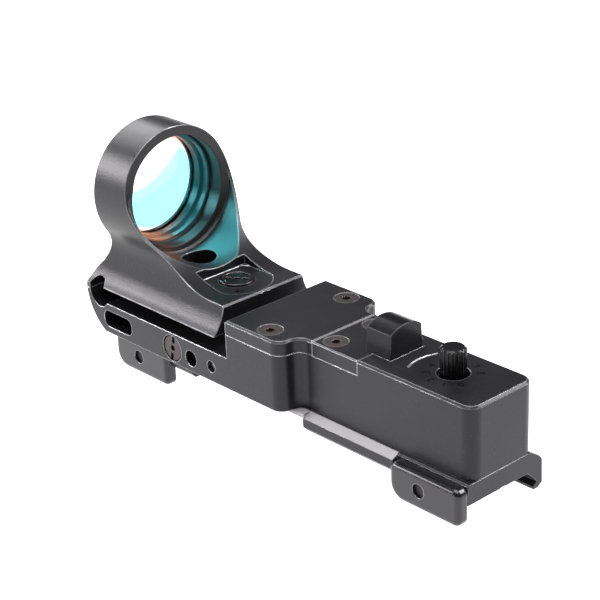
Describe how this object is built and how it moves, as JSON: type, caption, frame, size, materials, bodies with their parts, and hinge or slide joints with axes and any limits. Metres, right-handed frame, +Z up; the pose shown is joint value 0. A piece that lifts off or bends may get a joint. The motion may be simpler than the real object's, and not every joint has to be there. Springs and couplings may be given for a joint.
{
  "type": "rail-mounted open reflex sight",
  "caption": "Long open reflex sight with a round lens tower on a flexing foot, an arched dot emitter, a fluted brightness knob and rail clamps below",
  "frame": {"origin": "middle of the sight's length and width, on the surface that it stands on", "axes": "+Y towards the target, +X to the user's right, +Z up"},
  "size_m": [0.0328, 0.124, 0.0619],
  "materials": {
    "anodised_body": "bead-blasted, anodised black",
    "anodised_base": "anodised black",
    "clamp_steel": "black, slightly polished",
    "screw_steel": "phosphated, brown grey",
    "bright_steel": "ground",
    "gloss_black_metal": "anodised black, smooth",
    "knob_black": "moulded black",
    "led_red": "clear red",
    "window_glass": "polished",
    "coated_lens": "coated, passes cyan, reflects red",
    "battery_can": "nickel plated",
    "lead_jacket": "matt",
    "board_green": "lacquered",
    "switch_plastic": "moulded",
    "brass_nut": "machined"
  },
  "bodies": {
    "housing": {"main_housing": "anodised_body", "front_cover": "anodised_body", "front_cover_screws": "screw_steel", "emitter_plate": "anodised_body", "emitter_plate_screws": "screw_steel", "emitter_hood": "gloss_black_metal", "emitter_led": "led_red", "emitter_window": "window_glass", "battery": "battery_can", "battery_spring": "bright_steel", "battery_contact": "bright_steel", "battery_leads": "lead_jacket", "circuit_board": "board_green", "rotary_switch": "switch_plastic", "rail_base": "anodised_base", "rail_base_screws": "screw_steel", "windage_lock_screw": "screw_steel", "dowel_pin": "bright_steel"},
    "knob": {"switch_shaft": "bright_steel", "brightness_knob": "knob_black"},
    "rear_jaw": {"rear_clamp": "clamp_steel"},
    "front_jaw": {"front_clamp": "clamp_steel"},
    "rear_bolt": {"rear_cross_bolt": "screw_steel"},
    "front_bolt": {"front_cross_bolt": "screw_steel"},
    "windage_dial": {"windage_screw": "screw_steel"},
    "adjuster": {"adjuster_block": "brass_nut"},
    "tower": {"sight_head": "anodised_body", "lens": "coated_lens", "lens_ring": "gloss_black_metal", "elevation_bushing": "gloss_black_metal"},
    "elevation_dial": {"elevation_screw": "screw_steel"}
  },
  "joints": [
    {"name": "brightness_turn", "type": "hinge", "parent": "housing", "child": "knob", "pos_m": [0, -0.0477, 0.0262], "axis": [0, 0, -1], "range_deg": [0, 300]},
    {"name": "rear_jaw_slide", "type": "slide", "parent": "housing", "child": "rear_jaw", "axis": [-1, 0, 0], "range_m": [0, 0.0018]},
    {"name": "rear_bolt_turn", "type": "hinge", "parent": "housing", "child": "rear_bolt", "pos_m": [0, -0.0503, 0.005], "axis": [1, 0, 0], "range_deg": [0, 926]},
    {"name": "front_jaw_slide", "type": "slide", "parent": "housing", "child": "front_jaw", "axis": [-1, 0, 0], "range_m": [0, 0.0018]},
    {"name": "front_bolt_turn", "type": "hinge", "parent": "housing", "child": "front_bolt", "pos_m": [0, 0.0453, 0.005], "axis": [1, 0, 0], "range_deg": [0, 926]},
    {"name": "tower_yaw", "type": "hinge", "parent": "housing", "child": "adjuster", "pos_m": [0, 0.0614, 0.0199], "axis": [0, 0, 1], "range_deg": [-0.78, 0.78]},
    {"name": "windage_turn", "type": "hinge", "parent": "housing", "child": "windage_dial", "pos_m": [-0.0145, 0.0289, 0.01345], "axis": [-1, 0, 0], "range_deg": [-320, 320]},
    {"name": "tower_tilt", "type": "hinge", "parent": "adjuster", "child": "tower", "pos_m": [0, 0.0614, 0.0199], "axis": [1, 0, 0], "range_deg": [-0.65, 0.65]},
    {"name": "elevation_turn", "type": "hinge", "parent": "tower", "child": "elevation_dial", "pos_m": [0, 0.0225, 0.028], "axis": [0, 0, 1], "range_deg": [-320, 320]}
  ],
  "couplings": [
    {"joint": "rear_bolt_turn", "follows": "rear_jaw_slide", "rad_per_m": 8976},
    {"joint": "front_bolt_turn", "follows": "front_jaw_slide", "rad_per_m": 8976},
    {"joint": "windage_turn", "follows": "tower_yaw", "ratio": 408.41},
    {"joint": "elevation_turn", "follows": "tower_tilt", "ratio": 488.83}
  ]
}
